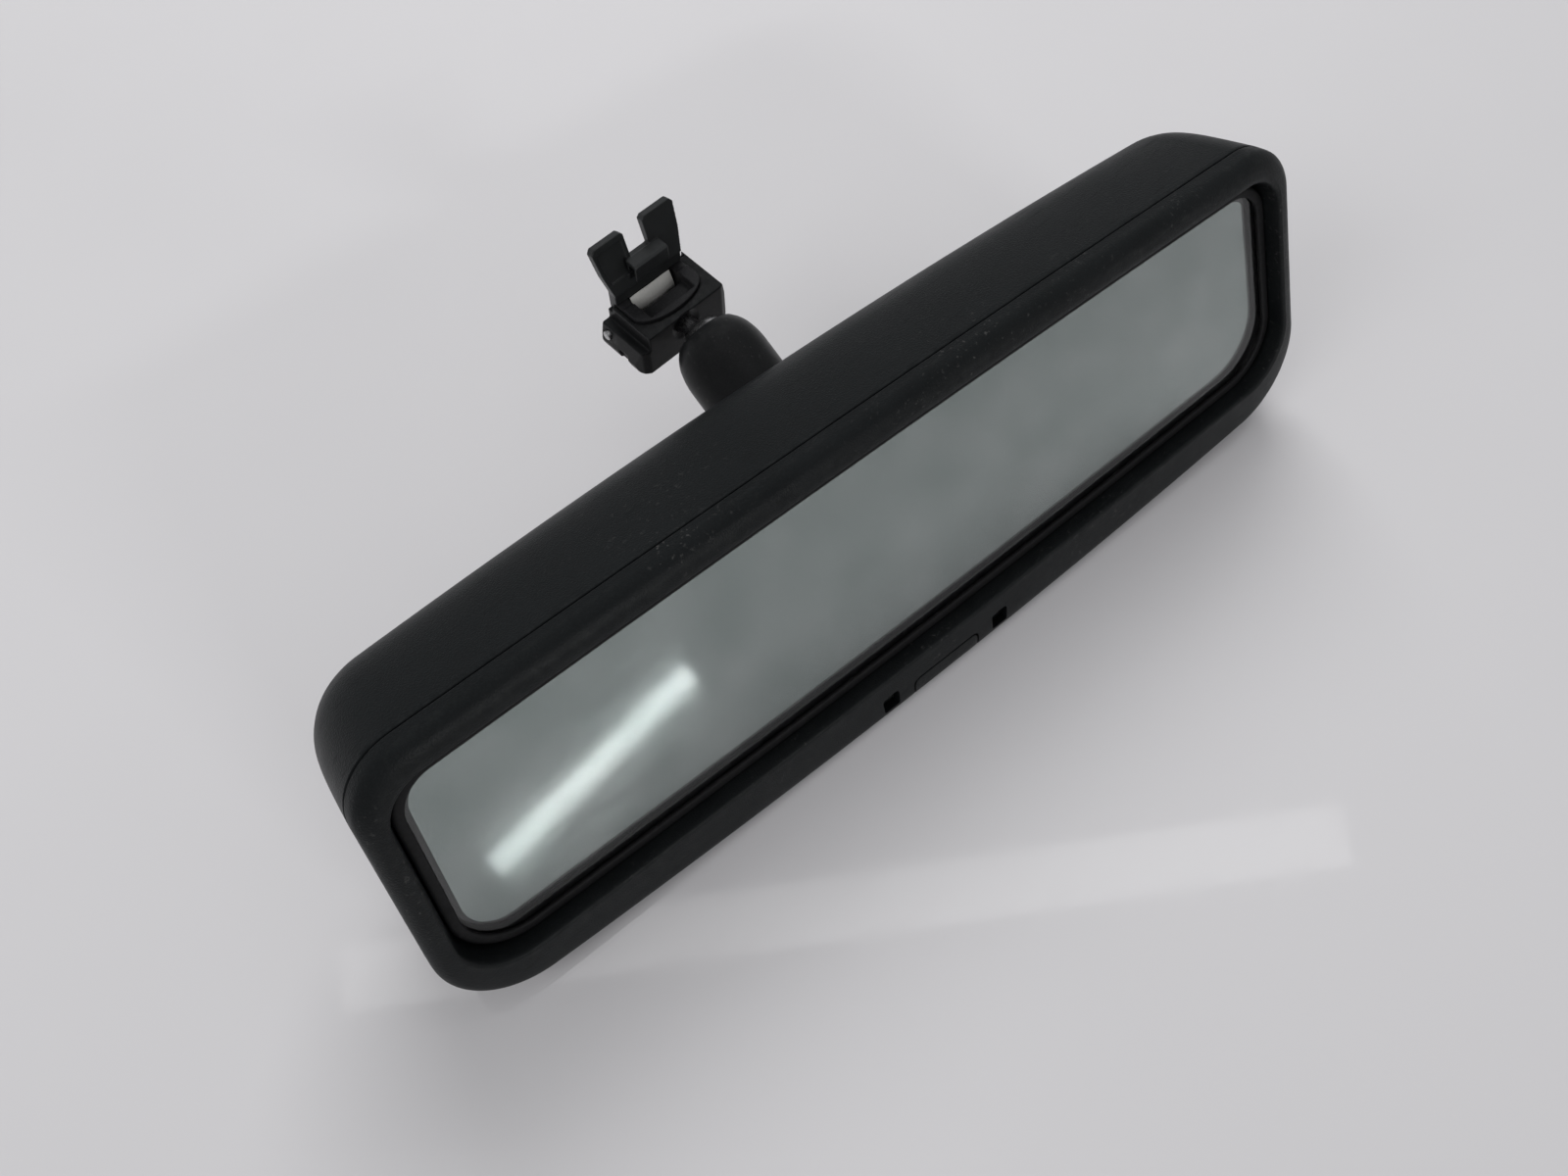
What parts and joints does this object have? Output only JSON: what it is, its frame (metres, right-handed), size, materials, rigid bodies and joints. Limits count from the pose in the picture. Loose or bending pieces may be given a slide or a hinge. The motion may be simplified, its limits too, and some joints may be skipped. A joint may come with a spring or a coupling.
{
  "type": "interior rearview mirror",
  "caption": "Wide interior rearview mirror with a dark bezel, chin button, double ball arm and a compact windscreen foot.",
  "frame": {"origin": "centre of the mouth of the foot's pocket, on the plane of its rim", "axes": "+Z out of the pocket towards the windscreen, +X across the foot along the head's length, +Y away from the mirror glass"},
  "size_m": [0.254, 0.1206, 0.0763],
  "materials": {
    "housing": "fine moulded texture, worn",
    "bezel": "fine moulded texture, rubbed on the edges",
    "tinted_glass": "flat polished, faint green-grey tint",
    "mirror": "mirror coated",
    "seal": "soft black",
    "inner_plastic": "plain moulded",
    "board": "green solder mask",
    "lens": "smoked clear",
    "cup": "natural nylon",
    "cast": "as cast",
    "steel": "zinc plated",
    "arm_paint": "satin black paint",
    "foot_paint": "black paint, rubbed",
    "bright_sheet": "bare sheet, scuffed"
  },
  "bodies": {
    "foot": {"foot_body": "foot_paint", "foot_insert": "inner_plastic", "latch_plate": "bright_sheet", "leaf_spring": "bright_sheet", "spring_pin": "steel", "insert_screw": "steel", "foot_ball_stud": "steel"},
    "foot_cup": {"cup_foot": "cup"},
    "arm": {"stem_tube": "arm_paint", "stem_spring": "steel"},
    "head_cup": {"cup_head": "cup"},
    "head_stud": {"head_ball_stud": "steel", "stud_nut": "steel"},
    "head": {"rear_housing": "housing", "bezel": "bezel", "front_glass": "tinted_glass", "cell_seal": "seal", "rear_glass": "mirror", "glass_gasket": "seal", "glass_carrier": "inner_plastic", "circuit_board": "board", "connector_socket": "inner_plastic", "ambient_sensor": "lens", "control_board": "board", "tact_switch": "steel", "status_light": "lens", "glare_sensor": "lens", "ball_bracket": "cast", "bracket_screw_1": "steel", "bracket_screw_2": "steel", "bracket_screw_3": "steel", "bracket_screw_4": "steel"},
    "button": {"dimming_button": "bezel", "switch_plunger": "seal"}
  },
  "joints": [
    {"name": "foot_pitch", "type": "hinge", "parent": "foot", "child": "foot_cup", "pos_m": [0, -0.019, -0.0046], "axis": [0.9954, -0.0958, 0], "range_deg": [-18, 4]},
    {"name": "foot_yaw", "type": "hinge", "parent": "foot_cup", "child": "arm", "pos_m": [0, -0.019, -0.0046], "axis": [0, 0, 1], "range_deg": [-10, 10]},
    {"name": "head_pitch", "type": "hinge", "parent": "arm", "child": "head_cup", "pos_m": [-0.00312, -0.05137, -0.01612], "axis": [0.9954, -0.0958, 0], "range_deg": [-10, 20]},
    {"name": "head_yaw", "type": "hinge", "parent": "head_cup", "child": "head_stud", "pos_m": [-0.00312, -0.05137, -0.01612], "axis": [0, 0, 1], "range_deg": [-12, 12]},
    {"name": "head_roll", "type": "hinge", "parent": "head_stud", "child": "head", "pos_m": [-0.00312, -0.05137, -0.01612], "axis": [-0.0958, -0.9953, 0.0157], "range_deg": [-8, 8]},
    {"name": "button_press", "type": "slide", "parent": "head", "child": "button", "axis": [0.0892, 0.9268, -0.3649], "range_m": [0, 0.0008], "stiffness_N_per_m": 2500, "springref_m": -0.0002}
  ]
}
